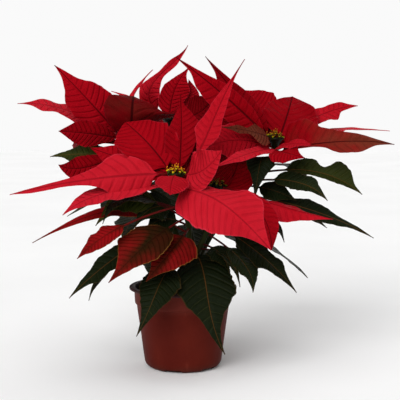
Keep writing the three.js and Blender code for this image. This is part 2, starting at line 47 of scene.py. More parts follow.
# Pot, soil and trunk, in mm. NOTCH_TURN is in radians, POT_RIPPLE and TRUNK_KNOTS are shares of
# the radius, and SOIL_LUMPS are (height, width).
POT_HEIGHT = 90
LIP_RADIUS = 60
LIP_TINT = 3.5
BAND_FOOT = 70
LEDGE_RADIUS = 51.5
FOOT_RADIUS = 43
FOOT_CURVE = 6.5
POT_FLOOR = 6
POT_COLUMNS = 128
POT_RIPPLE = 0.006
NOTCH_COUNT = 6
NOTCH_HEIGHT = 3
NOTCH_WIDTH = 18
NOTCH_TURN = 0.26
DRAIN_RADIUS = 4
DRAIN_CIRCLE_RADIUS = 24
DRAIN_DEPTH = 30
SOIL_TOP = 80
SOIL_RADIUS = 51.5
SOIL_COLUMNS = 110
SOIL_RINGS = 34
SOIL_RING_STEP = 1.5
SOIL_LUMPS = ((1.5, 9), (1.0, 3))
SOIL_CRUMBS = 150
CRUMB_REACH = 49
CRUMB_SIZES = (0.9, 2.2)
CRUMB_SINK = 0.6
TRUNK_AXIS = (10, 1)
TRUNK_FOOT = 70
TRUNK_TOP = 116
TRUNK_KNOTS = 0.05

# Stems and bract heads, in mm. STEM_TAPER is a share of the radius, NODE_LENGTH one of the stem.
STEM_RADIUS = 3.4
STEM_TAPER = 0.18
NODE_SWELLING = 0.5
NODE_LENGTH = 0.025
RECEPTACLE_HEIGHT = 22
RECEPTACLE_GAP = 0.3
RIM_RADIUS = 10.5
RIM_THICKNESS = 3
LOW_BRACT_DROP = 8
LOW_BRACT_RISE = 3.8
STALK_WIDTH = 2.4

# Rings of true flowers in a head, as (how many, radius of the ring, height over the hub), and
# the outline of one flower's cup as (radius, height) for a cup of size 1.
FLOWER_RINGS = [(1, 0, 1.0), (4, 4.4, 0.0), (7, 8.3, -2.6)]
CUP = [(0, 0), (0.5, 0.1), (0.9, 0.7), (1, 1.5), (0.92, 2.1), (0.75, 2.5), (0.8, 2.7), (0.6, 2.75),
       (0.45, 2.5), (0, 2.45)]
CUP_COLUMNS = 14
CUP_SIZES = (1.2, 1.9)
LIP_ROWS = (5, 6, 7)
THROAT_ROWS = (8, 9)
THREADS = 5
THREAD_RADIUS = 0.22
THREAD_REACH = 1.9
ANTHER_RADIUS = 0.48

# Blades: rows and columns of each one's mesh, and how its surface moves, in mm, in shares of its
# half width and in turns along it.
BLADE_ROWS = 54
STALK_ROWS = 5
STALK_MEETS_BLADE = 0.07
STALK_GRAIN = 40
BLADE_COLUMNS = 13
BLADE_THICKNESS = 0.5
LEAST_HALF_WIDTH = 0.4
KEEL_HEIGHT = 0.9
KEEL_HALF_WIDTH = 1.3
WAVE_SHARE = 0.07
WAVE_TURNS = 2
RUFFLE = {"bract": 0.04, "leaf": 0.03, "turning": 0.03}
RUFFLE_TURNS = 4.6
MARGIN = {"bract": 0.01, "leaf": 0.02, "turning": 0.016}
TEETH = {"bract": (0.045, 3), "leaf": (0.09, 4), "turning": (0.06, 3)}
CRUMPLE = 1.6
CRUMPLE_ALONG = 5
CRUMPLE_ACROSS = 1.4

# Side veins: how many pairs a blade has, then how far they lean and bend towards the tip, how far
# the right ones sit behind the left ones and how far they sway, in spacings from vein to vein.
VEIN_PAIRS = {"bract": 13, "leaf": 11, "turning": 14}
VEIN_LEAN = 0.36
VEIN_BEND = 0.11
VEIN_STAGGER = 0.45
VEIN_SWAY = 0.5
MINOR_VEIN = 0.35

# Patterns in the skins of blades, per metre, and heights where other skins change, in mm.
MOTTLE_SCALE = 42
SWAY_SCALE = 28
NET_SCALE = 420
CREASE_SCALE = 160
DIRT_HEIGHT = 12
WOOD_TOP = 105
GREEN_FOOT = 160

# The photo's viewpoint, in metres, degrees and millimetres of lens.
CAMERA_PLACE = (0.019, -1.07, 0.283)
CAMERA_TILT = 5.2
CAMERA_LENS = 87.3
CAMERA_SENSOR = 36
PLANT_MIDDLE = (0, 0, 0.2)

# Stems as the points that each one runs through, in mm, as in the solids.
STEMS = {
    "front": [[6, -3, 104], [5, -5, 120], [7, -16, 155], [2, -34, 182], [-6, -50, 197]],
    "low": [[12, -5, 104], [14, -7, 120], [24, -9, 145], [33, -8, 164], [38, -5, 180]],
    "right": [[15, 1, 104], [18, 2, 120], [38, 10, 156], [72, 20, 204], [104, 30, 232]],
    "left": [[5, 4, 104], [3, 6, 120], [-14, 10, 160], [-40, 16, 206], [-59, 20, 232]],
    "back": [[12, 6, 104], [12, 10, 120], [4, 28, 168], [-10, 55, 225], [-16, 70, 254]],
}

# Outline of each kind of blade: the share of it that is stalk, then its half widths left and
# right of the midrib at even steps from stalk to tip, in tenths of half the blade's width. They
# are given once where both sides are alike.
FORMS = {
    "plain": [0.1, [5, 8.5, 10, 8.5, 5.5, 2.2]],
    "waved": [0.1, [6, 10, 8, 6.5, 7, 2], [6, 9, 9, 6, 6.5, 2]],
    "round": [0.08, [5, 8, 10, 10, 8, 4]],
    "fan": [0.06, [8.5, 9.5, 10, 10, 8, 4.5], [9, 10, 10, 8, 5, 2.5]],
    "long": [0.06, [7, 7.5, 3, 1.5, 1.2, 1.2], [7, 10, 6, 3, 1.8, 1.6]],
    "spear": [0.08, [6, 8.5, 10, 9.3, 4.5, 1.4], [7, 10, 9.3, 6.7, 3.3, 1.7]],
    "kite": [0.05, [8, 9, 8.5, 6, 3.3, 1], [4.5, 7.5, 9.5, 10, 6, 1.6]],
    "dagger": [0.18, [5.5, 10, 8, 6, 3.7, 1]],
    "tailed": [0.06, [8, 10, 5.5, 3, 3.5, 1.4], [8, 10, 6.5, 3, 3.5, 1.4]],
    "hooked": [0.06, [8, 10, 10, 9.6, 7.2, 1.6], [4, 6, 6.5, 5.5, 3.2, 1.4]],
    "sided": [0.06, [10, 11, 12, 8, 4.5, 1], [2.6, 3.8, 4.1, 3.5, 2, 0.9]],
    "strap": [0.04, [10, 9, 8, 9, 7.5, 4]],
    "drawn": [0.22, [7, 10, 8, 4, 2.8, 1.5], [6, 9, 9, 6, 2.8, 1.5]],
    "apron": [0.03, [5, 6, 7, 9, 9.5, 4], [9, 10, 10, 9.5, 7, 3]],
    "drape": [0.05, [4, 5, 5.8, 5.8, 5.6, 4.2], [6, 10, 10, 9, 7.5, 4.5]],
    "wing": [0.1, [9.5, 10, 6, 4, 2.5, 1], [1.5, 1.5, 3.5, 8, 7, 2]],
    "horned": [0.12, [5, 8, 8, 7, 7, 3], [5, 7, 8, 10, 3, 2]],
    "broad": [0.05, [5, 7, 7, 7, 6, 3], [10, 10, 9.5, 9, 7.5, 4]],
    "late": [0.48, [7, 9, 10, 8, 6, 2.5], [6, 10, 8, 9, 5, 2.5]],
    "stalked": [0.28, [6, 9, 10, 8, 5, 2]],
    "leaf": [0.24, [7, 10, 9.5, 7.5, 4.5, 1.8]],
    "lobed": [0.22, [8, 10, 7.5, 8, 4, 1.6], [7, 9, 9.5, 6, 4, 1.6]],
    "crested": [0.22, [6, 7.5, 4, 9.5, 8, 2], [4, 4, 4, 5, 4, 1.8]],
    "heart": [0.14, [7.2, 9, 9.6, 7.6, 3.5, 1.3], [7.4, 9.4, 9.6, 6.8, 3.4, 1.4]],
    "slanted": [0.24, [6, 7.5, 7.5, 6, 3.5, 1.5], [6, 9.5, 10.5, 9.5, 5, 1.8]],
}

# Blades as [rib points, width, direction that the upper face looks in, form, fold, twist], in mm and
# degrees. Fold and twist are 0 where they are left out.
BRACTS = {"front": [
    [[[-12, -50, 212], [-92, -72, 214], [-175, -85, 199]], 62, [0, -10, 6], "long", -24, 50],
    [[[-11, -44, 217], [-32, -38, 245], [-50, -24, 262], [-62, -12, 272]], 60, [2, -10, 4], "fan", 6],
    [[[-13, -45, 214], [-59, -28, 231], [-101, -12, 244]], 42, [0, -10, 5], "plain"],
    [[[-3, -41, 218], [-1, -32, 262], [-2, -14, 301]], 39, [0, -10, 2], "kite", 10],
    [[[3, -45, 218], [24, -42, 253], [40, -38, 290], [66, -42, 338]], 29, [-3, -10, 3], "dagger", 14, 20],
    [[[3, -53, 215], [22, -74, 223], [41, -88, 244]], 46, [-4, -10, 4], "fan", 12],
    [[[-7, -59, 212], [-10, -79, 211], [-11, -100, 200]], 36, [0, -4, 10], "fan", -10],
    [[[-6, -57, 203], [25, -96, 200], [54, -120, 183], [89, -124, 147]], 66, [0, -9, 4], "apron", -25, 50],
    [[[-13, -50, 205], [-76, -66, 200], [-120, -94, 179]], 40, [-1, -5, 10], "plain"],
    [[[-6, -50, 205], [5, -34, 224], [16, -24, 262]], 50, [0, -10, 4], "fan"],
    [[[-12, -46, 216], [-27, -43, 222], [-43, -34, 228]], 38, [0, -7, 7], "round"],
], "low": [
    [[[44, -12, 196], [82, -44, 178], [94, -64, 139]], 30, [3, -10, 3], "round"],
    [[[46, -6, 198], [105, -28, 182], [161, -40, 169]], 36, [0, -6, 10], "plain", -30],
    [[[38, -5, 190], [58, 14, 216], [63, 22, 247]], 52, [-3, -10, 3], "fan", 10],
    [[[38, -5, 190], [33, 16, 222], [42, 26, 253]], 44, [1, -10, 3], "fan", 10],
    [[[40, 4, 200], [54, 48, 208], [62, 88, 194]], 44, [1, 2, 10], "plain"],
    [[[36, 4, 197], [20, 45, 208], [5, 85, 198]], 44, [0, 3, 10], "plain"],
    [[[31, -3, 198], [2, 4, 206], [-24, 12, 200]], 30, [-2, -2, 10], "plain"],
], "right": [
    [[[98, 26, 248], [50, 8, 297], [-8, 2, 343]], 38, [-3, -10, 3], "hooked", 8],
    [[[101, 35, 251], [68, 38, 293], [25, 32, 345]], 60, [-2, -10, 2], "sided", 10],
    [[[103, 38, 251], [86, 74, 285], [71, 105, 309]], 56, [0, -10, 6], "round", 8],
    [[[107, 34, 252], [119, 50, 278], [128, 80, 301]], 78, [0, -9, 7], "broad", 8],
    [[[112, 34, 250], [161, 60, 280], [204, 72, 290]], 28, [0, -8, 8], "horned"],
    [[[102, 21, 235], [135, 0, 246], [182, -14, 251], [228, -26, 248]], 58, [0, -10, 6], "wing", 30],
    [[[112, 32, 245], [176, 62, 262], [240, 62, 261]], 30, [0, -1, 10], "plain"],
    [[[104, 22, 241], [76, -18, 239], [34, -52, 225]], 18, [1, -6, 9], "strap"],
    [[[108, 22, 242], [119, -8, 248], [138, -30, 248]], 16, [0, -8, 6], "strap"],
    [[[96, 20, 240], [111, -15, 239], [131, -34, 234]], 34, [1, -10, 4], "plain"],
    [[[96, 25, 242], [62, 3, 252], [24, -15, 243]], 44, [0, -9, 4], "round", -10],
    [[[104, 38, 242], [120, 88, 256], [125, 130, 244]], 52, [0, 3, 10], "plain"],
    [[[110, 36, 240], [150, 76, 250], [186, 110, 240]], 48, [2, 2, 10], "plain"],
    [[[98, 38, 242], [86, 88, 258], [70, 130, 248]], 50, [-1, 3, 10], "plain"],
    [[[97, 22, 246], [77, 5, 261], [41, -9, 267]], 32, [1, -8, 7], "tailed"],
    [[[104, 30, 240], [105, 42, 252], [106, 47, 268]], 30, [0, -10, 4], "fan"],
], "left": [
    [[[-76, 12, 255], [-104, 0, 296], [-141, 5, 334]], 48, [1, -10, 3], "spear", 8],
    [[[-79, 18, 254], [-127, 10, 284], [-181, -2, 292]], 34, [0, -6, 10], "waved"],
    [[[-78, 8, 250], [-101, -8, 259], [-134, -18, 262]], 29, [0, -10, -2], "round"],
    [[[-79, 12, 241], [-106, 4, 222], [-136, -8, 225]], 26, [0, -10, -1], "round"],
    [[[-56, 6, 253], [-55, -9, 283], [-54, 6, 300]], 104, [2, -10, 3], "drape", -6],
    [[[-72, 23, 256], [-60, 44, 296], [-35, 48, 331]], 18, [-10, -5, 4], "plain", 10],
    [[[-76, 22, 250], [-100, 60, 264], [-135, 105, 258]], 50, [-2, 2, 10], "plain"],
    [[[-71, 23, 250], [-72, 75, 262], [-85, 125, 250]], 52, [0, 3, 10], "plain"],
    [[[-79, 18, 242], [-106, 56, 250], [-132, 88, 236]], 44, [-2, 1, 10], "plain"],
], "back": [
    [[[-22, 65, 274], [-51, 66, 293], [-84, 64, 307]], 20, [0, -3, 10], "plain"],
    [[[-20, 76, 275], [-40, 66, 306], [-19, 62, 333], [5, 58, 359]], 28, [-2, -10, 2], "tailed", 0, 60],
    [[[-16, 62, 275], [-10, 54, 308], [8, 48, 335]], 34, [0, -10, 3], "kite"],
    [[[-9, 66, 274], [6, 60, 299], [6, 56, 320]], 26, [0, -10, 3], "plain"],
    [[[-9, 63, 270], [18, 52, 282], [37, 46, 303]], 40, [0, -10, 3], "round"],
    [[[-16, 78, 268], [-20, 120, 280], [-35, 165, 262]], 52, [0, 4, 10], "plain"],
    [[[-10, 75, 268], [22, 108, 282], [52, 140, 270]], 48, [1, 3, 10], "plain"],
    [[[-22, 75, 266], [-55, 106, 278], [-88, 140, 262]], 46, [-2, 3, 10], "plain"],
    [[[-14, 79, 275], [-14, 104, 298], [-12, 126, 318]], 44, [0, 8, 10], "round"],
]}

LEAVES = {"front": [
    [[[8, -8, 131], [-17, -50, 113], [-29, -72, 90], [-47, -82, 51]], 44, [-4, -10, 4], "leaf"],
    [[[12, -6, 135], [22, -46, 115], [29, -74, 79], [45, -82, 32]], 64, [1, -10, 5], "heart"],
    [[[4, -22, 166], [-53, -48, 193], [-83, -62, 166]], 34, [-4, -4, 10], "leaf"],
    [[[0, -24, 179], [-54, -38, 190], [-86, -44, 172]], 34, [-2, -8, 6], "leaf"],
    [[[4, -18, 172], [-26, -36, 182], [-50, -52, 162]], 38, [-2, -10, 6], "leaf"],
    [[[6, -14, 160], [-18, -32, 168], [-38, -40, 158]], 36, [-1, -10, 6], "leaf"],
], "low": [
    [[[34, -4, 160], [84, -35, 130], [122, -50, 91]], 32, [4, -8, 8], "lobed"],
    [[[30, -3, 148], [65, -45, 123], [75, -60, 93]], 30, [6, -8, 5], "leaf"],
    [[[24, -2, 138], [40, -37, 132], [50, -52, 113]], 28, [2, -8, 8], "leaf"],
    [[[22, -2, 132], [48, -45, 128], [61, -66, 100]], 14, [6, -6, 6], "leaf"],
    [[[36, -3, 170], [104, 18, 127], [141, 14, 96]], 26, [4, -1, 10], "leaf"],
], "right": [
    [[[82, 22, 215], [147, 0, 217], [196, -15, 193]], 38, [0, -10, 8], "crested", 20],
    [[[75, 20, 207], [126, -10, 206], [157, -25, 187]], 28, [0, -9, 9], "lobed", 10],
    [[[70, 18, 200], [100, 6, 196], [126, 0, 185]], 28, [0, -8, 8], "leaf"],
    [[[64, 16, 193], [146, 4, 173], [211, -6, 144]], 28, [0, -8, 9], "drawn"],
    [[[60, 16, 188], [122, 35, 173], [164, 30, 151]], 26, [0, -3, 10], "leaf"],
    [[[54, 14, 180], [95, 8, 165], [113, 2, 138]], 22, [4, -3, 10], "leaf"],
    [[[58, 16, 186], [92, 66, 170], [108, 90, 142]], 42, [2, 3, 10], "lobed"],
    [[[84, 25, 220], [120, 60, 222], [150, 88, 200]], 44, [2, 2, 10], "leaf"],
    [[[34, 9, 152], [70, 62, 132], [82, 90, 95]], 40, [2, 2, 10], "lobed"],
    [[[92, 26, 222], [86, -6, 231], [78, -22, 188]], 34, [-2, -10, 4], "leaf"],
], "left": [
    [[[-35, 11, 190], [-81, 4, 190], [-128, -5, 168]], 28, [-2, -2, 10], "leaf"],
    [[[-30, 10, 184], [-64, 5, 185], [-96, -10, 158]], 36, [-4, -8, 8], "leaf"],
    [[[-14, 8, 162], [-78, -20, 121], [-122, -40, 83]], 30, [-4, -8, 6], "lobed"],
    [[[-8, 7, 152], [-75, -6, 118], [-103, -22, 77]], 22, [-6, -4, 6], "leaf"],
    [[[-60, 15, 228], [-108, 32, 235], [-152, 36, 232]], 34, [0, -8, 8], "lobed"],
    [[[-42, 12, 200], [-75, 55, 190], [-100, 85, 158]], 44, [-2, 3, 10], "leaf"],
    [[[-25, 10, 178], [-58, 66, 162], [-75, 110, 120]], 46, [-1, 3, 10], "lobed"],
    [[[-10, 7, 156], [-56, 50, 132], [-70, 90, 92]], 40, [-3, 3, 10], "leaf"],
], "back": [
    [[[-8, 48, 210], [-20, 96, 188], [-25, 135, 140]], 48, [0, 4, 10], "lobed"],
    [[[2, 26, 166], [5, 80, 136], [10, 115, 90]], 44, [0, 4, 10], "leaf"],
    [[[-4, 40, 195], [34, 85, 182], [55, 125, 140]], 46, [1, 3, 10], "lobed"],
    [[[-12, 58, 230], [-40, 100, 226], [-62, 140, 196]], 44, [-1, 3, 10], "leaf"],
    [[[-10, 55, 226], [20, 105, 224], [30, 150, 196]], 44, [1, 3, 10], "leaf"],
    [[[11, 12, 128], [34, 70, 112], [46, 98, 66]], 42, [2, 6, 8], "heart"],
    [[[11, 10, 124], [-26, 66, 108], [-40, 94, 62]], 44, [-2, 6, 8], "heart"],
]}

TURNING = {
    "turning_leaf_left": [
        [[4, -22, 172], [-34, -74, 148], [-75, -86, 108]], 52, [-3, -10, 6], "slanted"],
    "turning_leaf_middle": [
        [[8, -14, 158], [-8, -64, 142], [-37, -78, 108]], 50, [-1, -10, 5], "leaf"],
    "red_leaf_long": [
        [[7, -14, 150], [-30, -18, 171], [-78, -34, 177], [-157, -60, 146]], 24, [-1, -7, 10], "stalked"],
    "red_leaf_short": [
        [[1, -34, 186], [-62, -70, 165], [-107, -86, 133]], 26, [-2, -8, 9], "late"],
}

# Light and shade painted on each blade, as a factor on its colour, and how far patches of its second
# colour cover its root and its tip.
BRACT_PAINTED_SHADING = {
    "front": [0.78, 0.5, 0.54, 0.4, 0.7, 0.78, 0.72, 0.8, 0.86, 0.26, 0.46],
    "low": [0.55, 0.7, 0.4, 0.3, 0.55, 0.55, 0.35],
    "right": [0.49, 0.4, 0.5, 0.4, 0.68, 0.42, 0.85, 0.8, 0.7, 0.5, 0.68, 0.6, 0.6, 0.6, 0.36,
              0.28],
    "left": [0.54, 0.78, 0.43, 0.46, 0.2, 0.8, 0.6, 0.6, 0.6],
    "back": [0.9, 0.72, 0.56, 0.7, 0.25, 0.6, 0.6, 0.6, 0.5],
}
BRACT_PATCHES = {("right", 5): (0.08, 0.75), ("left", 4): (0.12, 0.32), ("right", 14): (1.0, 0.9)}
LEAF_PAINTED_SHADING = {
    "front": [0.8, 0.75, 0.8, 1.0, 0.8, 0.8],
    "low": [0.75, 1.1, 0.8, 0.9, 1.0],
    "right": [0.9, 1.1, 0.8, 0.8, 0.8, 0.8, 0.9, 0.9, 0.9, 0.7],
    "left": [1.5, 1.8, 0.9, 0.9, 1.3, 0.9, 0.9, 0.9],
    "back": [0.95, 0.9, 0.9, 1.0, 1.0, 0.9, 0.9],
}
LEAF_PATCHES = {("right", 0): (0.5, 0.6), ("low", 1): (0.2, 0.1), ("left", 1): (0.5, 0.4),
                ("left", 4): (0.5, 0.5), ("front", 3): (0.8, 0.7)}
# Shade painted on each head's flowers and hub, as a factor on their colours.
FLOWER_PAINTED_SHADE = {"front": 1.0, "low": 0.16, "right": 0.5, "left": 0.35, "back": 0.25}
# Light and shade painted on each turning leaf, as a factor on its colour, and how far its patches reach.
TURNING_PAINTED_SHADING = {"turning_leaf_left": 1.0, "turning_leaf_middle": 0.9, "red_leaf_long": 1.1,
                 "red_leaf_short": 1.1}
TURNING_PATCHES = {"turning_leaf_left": (1.0, 0.05), "turning_leaf_middle": (0.45, 0.3),
                   "red_leaf_long": (0.15, 0.0), "red_leaf_short": (0.2, 0.05)}


def linear(red, green, blue):
    """A colour given in 0-255 screen values, as Blender's linear RGBA."""
    def channel(value):
        value /= 255
        return value / 12.92 if value <= 0.04045 else ((value + 0.055) / 1.055) ** 2.4
    return (channel(red), channel(green), channel(blue), 1.0)


def dimmed(colour, share):
    """A share of the colour's light; the script paints shade on flowers and hubs with it."""
    return tuple(share * part for part in colour[:3]) + (1.0,)


def smooth(value, low=0.0, high=1.0):
    """0 below low, 1 above high, smooth between."""
    share = min(1.0, max(0.0, (value - low) / (high - low)))
    return share * share * (3 - 2 * share)


class Value:
    """What a node gives. Sums, differences and products of values are nodes too."""

    def __init__(self, nodes, node, output):
        self.nodes = nodes
        self.node = node
        self.output = output

    def __add__(self, other):
        return self.nodes.math("ADD", self, other)

    def __sub__(self, other):
        return self.nodes.math("SUBTRACT", self, other)

    def __mul__(self, other):
        return self.nodes.math("MULTIPLY", self, other)


class Nodes:
    """A material or a world, and short ways to add its nodes."""

    def __init__(self, owner):
        self.owner = owner
        owner.use_nodes = True
        self.tree = owner.node_tree
        self.tree.nodes.clear()

    def add(self, kind, inputs, output=0, **settings):
        """Adds a node with its inputs, as values, numbers or colours. Gives one of its outputs."""
        node = self.tree.nodes.new(kind)
        for key, setting in settings.items():
            setattr(node, key, setting)
        for key, value in inputs.items():
            if isinstance(value, Value):
                self.tree.links.new(value.node.outputs[value.output], node.inputs[key])
            else:
                node.inputs[key].default_value = value
        return Value(self, node, output)

    def math(self, operation, a, b=0.0):
        return self.add("ShaderNodeMath", {0: a, 1: b}, operation=operation)

    def band(self, value, low, high, start=0.0, end=1.0):
        """start below low, end above high, smooth between."""
        return self.add("ShaderNodeMapRange", {0: value, 1: low, 2: high, 3: start, 4: end},
                        interpolation_type="SMOOTHSTEP")

    def mix(self, factor, a, b, blend_type="MIX"):
        """Colour a where factor is 0, and b where it is 1."""
        return self.add("ShaderNodeMix", {0: factor, 6: a, 7: b}, 2,
                        data_type="RGBA", blend_type=blend_type)

    def shade(self, colour, factor):
        """The colour times a number."""
        grey = self.add("ShaderNodeCombineColor", {0: factor, 1: factor, 2: factor})
        return self.mix(1.0, colour, grey, "MULTIPLY")

    def place(self):
        """The point's place on the object, in metres."""
        return self.add("ShaderNodeTexCoord", {}, "Object")

    def stretched(self, place, rise):
        """The place with its height times rise, which draws a pattern out upwards."""
        return self.add("ShaderNodeMapping", {"Vector": place, "Scale": (1.0, 1.0, rise)})

    def axis(self, place, number):
        return self.add("ShaderNodeSeparateXYZ", {0: place}, number)

    def channel(self, colour, number):
        return self.add("ShaderNodeSeparateColor", {0: colour}, number)

    def tone(self, output="Color"):
        """The Tone of the mesh, which Skin.build writes."""
        return self.add("ShaderNodeAttribute", {}, output, attribute_name="Tone")

    def noise(self, scale, detail=2.0, vector=None, roughness=0.5):
        return self.add("ShaderNodeTexNoise", {"Vector": vector or self.place(), "Scale": scale,
                                               "Detail": detail, "Roughness": roughness})

    def finish(self, colour, roughness, height, relief, specular=0.5, glow=0.0):
        """The shader over a relief given in metres. Returns the material."""
        bump = self.add("ShaderNodeBump", {"Strength": 1.0, "Distance": relief, "Height": height})
        shader = self.add("ShaderNodeBsdfPrincipled", {
            "Base Color": colour, "Roughness": roughness, "Normal": bump,
            "Specular IOR Level": specular, "Emission Strength": glow})
        self.add("ShaderNodeOutputMaterial", {0: shader})
        return self.owner


def distance_from_vein(nodes, along, across, off_rib):
    """How far a point is from the nearest side vein: 0 on it, 0.5 halfway to the next one."""
    sway = (nodes.noise(SWAY_SCALE) - 0.5) * VEIN_SWAY
    bend = nodes.math("POWER", off_rib, 2.0) * VEIN_BEND
    stagger = nodes.math("GREATER_THAN", across, 0.0) * VEIN_STAGGER
    run = along - off_rib * VEIN_LEAN - bend + stagger + sway
    return nodes.math("ABSOLUTE", nodes.math("FRACT", run) - 0.5)


def blade_material(name, colours, veins, roughness, relief, specular):
    """Skin of a blade: a midrib, side veins that curve to the margin, quilting between them, and an
    underside and a stalk in their own colours; painted light and shade from the blade's tone, and a
    margin line that is partly a painted lit rim."""
    colours = {part: linear(*colour) for part, colour in colours.items()}
    nodes = Nodes(bpy.data.materials.new(name))
    grain = nodes.add("ShaderNodeUVMap", {}, uv_map="Grain")
    along, across = nodes.axis(grain, 0), nodes.axis(grain, 1)
    # value is the blade's painted light and shade, covered how far its patches reach, under 1 on its
    # underside.
    value, covered, under = (nodes.channel(nodes.tone(), number) for number in range(3))
    margin = nodes.tone("Alpha")
    mottle = nodes.noise(MOTTLE_SCALE, 3.0)
    on_blade = nodes.band(along, -0.15, 0.1)
    off_rib = nodes.math("ABSOLUTE", across)
    off_vein = distance_from_vein(nodes, along, across, off_rib)

    # The veins fade towards the margin and break up; the midrib tapers towards the tip.
    width = veins["width"]
    side_vein = nodes.band(off_vein, 0.2 * width, width, 1.0, 0.0)
    side_vein += nodes.band(off_vein, 0.5 - width, 0.5, 0.0, MINOR_VEIN)
    side_vein *= nodes.band(margin, 0.75, 1.0, 0.75, 0.15)
    side_vein *= on_blade
    side_vein *= nodes.band(mottle, 0.35, 0.65, 0.5, 1.0)
    off_midrib = nodes.math("DIVIDE", off_rib, nodes.band(along, 0.0, 11.0, 1.7, 0.8))
    midrib = nodes.band(off_midrib, 0.6 * width, 1.8 * width, 1.0, 0.0)
    cells = nodes.add("ShaderNodeTexVoronoi", {"Scale": NET_SCALE}, feature="DISTANCE_TO_EDGE")
    net = nodes.band(cells, 0.0, 0.12, 1.0, 0.0)

    # Patches of the blade's second colour start beside the midrib and the veins.
    patch = covered + (mottle - 0.5) * 0.9
    patch += nodes.band(off_rib, 0.1, 1.4, veins["patches"], -0.05)
    patch += nodes.band(off_vein, 0.0, 0.2, 0.3 * veins["patches"], 0.0)
    patch *= nodes.band(covered, 0.0, 0.08)
    # A blade with more painted light takes more of the lit colour, which is painted light.
    colour = nodes.mix(nodes.band(value, 0.45, 0.95), colours["body"], colours["lit"])
    colour = nodes.mix(nodes.band(patch, 0.1, 0.8), colour, colours["patch"])
    colour = nodes.mix(nodes.band(mottle, 0.35, 0.75) * 0.35, colour, colours["mottle"])
    colour = nodes.mix(under * 0.75, colour, colours["under"])

    # Painted light: on a blade with more of it the veins stand out less, and its margin line turns more
    # into a painted lit rim.
    fading = nodes.band(value, 0.45, 0.8, 1.0, veins["share_when_bright"])
    web = nodes.math("MAXIMUM", side_vein, net * on_blade * 0.16)
    colour = nodes.mix(web * fading * veins["strength"], colour, colours["vein"])
    colour = nodes.mix(midrib * (fading * 0.85), colour, colours["midrib"])
    # The margin line is partly a painted lit rim, stronger on blades with more painted light.
    rim = nodes.band(margin, 0.945, 0.985) * nodes.band(value, 0.45, 0.75, 0.25, 0.7)
    colour = nodes.mix(rim, colour, colours["margin"])
    colour = nodes.mix(nodes.band(along, -0.25, 0.35, 1.0, 0.0), colour, colours["stalk"])
    # Every colour above is scaled by the blade's painted light and shade.
    colour = nodes.shade(colour, value)

    quilt = nodes.band(off_vein, 0.0, 0.26) * nodes.band(off_rib, 0.0, 0.5)
    crease = nodes.noise(CREASE_SCALE, 3.0)
    height = quilt * on_blade - midrib * 0.4 - net * 0.06 + crease * 0.15
    return nodes.finish(colour, roughness, height, relief, specular)


def pot_material():
    """Thin moulded plastic in two tones, with scuffs, a dusty band, a dark lip and a dirty foot."""
    nodes = Nodes(bpy.data.materials.new("pot_plastic"))
    place = nodes.place()
    level = nodes.axis(place, 2)
    blotch = nodes.noise(22.0, 4.0)
    scuff = nodes.noise(90.0, 5.0, nodes.stretched(place, 0.12), 0.65)
    colour = nodes.mix(nodes.band(blotch, 0.35, 0.7), linear(78, 20, 13), linear(87, 25, 16))
    colour = nodes.mix(nodes.band(scuff, 0.58, 0.75) * 0.35, colour, linear(118, 50, 38))
    dust = nodes.band(level, (BAND_FOOT - 6) * MM, (BAND_FOOT + 4) * MM)
    colour = nodes.mix(dust * 0.22, colour, linear(122, 62, 54))
    lip_foot = POT_HEIGHT - LIP_TINT
    lip = nodes.band(level, (lip_foot - 1) * MM, (lip_foot + 1) * MM)
    colour = nodes.mix(lip, colour, linear(62, 38, 38))
    inner = nodes.channel(nodes.tone(), 0)
    colour = nodes.mix(inner, colour, linear(30, 18, 16))
    foot = nodes.band(level, 0.0, DIRT_HEIGHT * MM, 1.0, 0.0)
    dirt = foot * nodes.band(blotch, 0.3, 0.6) * 0.6
    colour = nodes.mix(dirt, colour, linear(70, 34, 26))
    roughness = nodes.band(scuff, 0.3, 0.8, 0.42, 0.62)
    return nodes.finish(colour, roughness, blotch * 0.2 + scuff * 0.15, 0.0006, 0.04)


def soil_material():
    """Damp peat in clods of darker and lighter brown, with a few pale grains."""
    nodes = Nodes(bpy.data.materials.new("peat"))
    clod = nodes.noise(120.0, 6.0, roughness=0.7)
    colour = nodes.mix(nodes.band(clod, 0.3, 0.7), linear(20, 13, 10), linear(58, 40, 30))
    cells = nodes.add("ShaderNodeTexVoronoi", {"Scale": 260.0}, "Color")
    grain = nodes.band(nodes.channel(cells, 0), 0.95, 0.97)
    colour = nodes.mix(grain, colour, linear(150, 140, 125))
    return nodes.finish(colour, 0.95, clod, 0.003)


def stem_material():
    """Green stem skin that turns woody and brown low down, with dark streaks along it."""
    nodes = Nodes(bpy.data.materials.new("stem_skin"))
    place = nodes.place()
    streak = nodes.noise(220.0, 4.0, nodes.stretched(place, 0.25))
    level = nodes.axis(place, 2) + streak * 0.03
    green = nodes.band(level, WOOD_TOP * MM, GREEN_FOOT * MM)
    colour = nodes.mix(green, linear(50, 38, 22), linear(34, 38, 14))
    colour = nodes.mix(nodes.band(streak, 0.45, 0.7) * 0.4, colour, linear(20, 24, 8))
    return nodes.finish(colour, 0.6, streak, 0.0008, 0.06)


def flower_material():
    """The small true flowers: their own colours, softly mottled."""
    nodes = Nodes(bpy.data.materials.new("flower_skin"))
    mottle = nodes.noise(700.0, 3.0)
    colour = nodes.shade(nodes.tone(), nodes.band(mottle, 0.2, 0.8, 0.75, 1.2))
    return nodes.finish(colour, 0.4, mottle, 0.0005, 0.08)
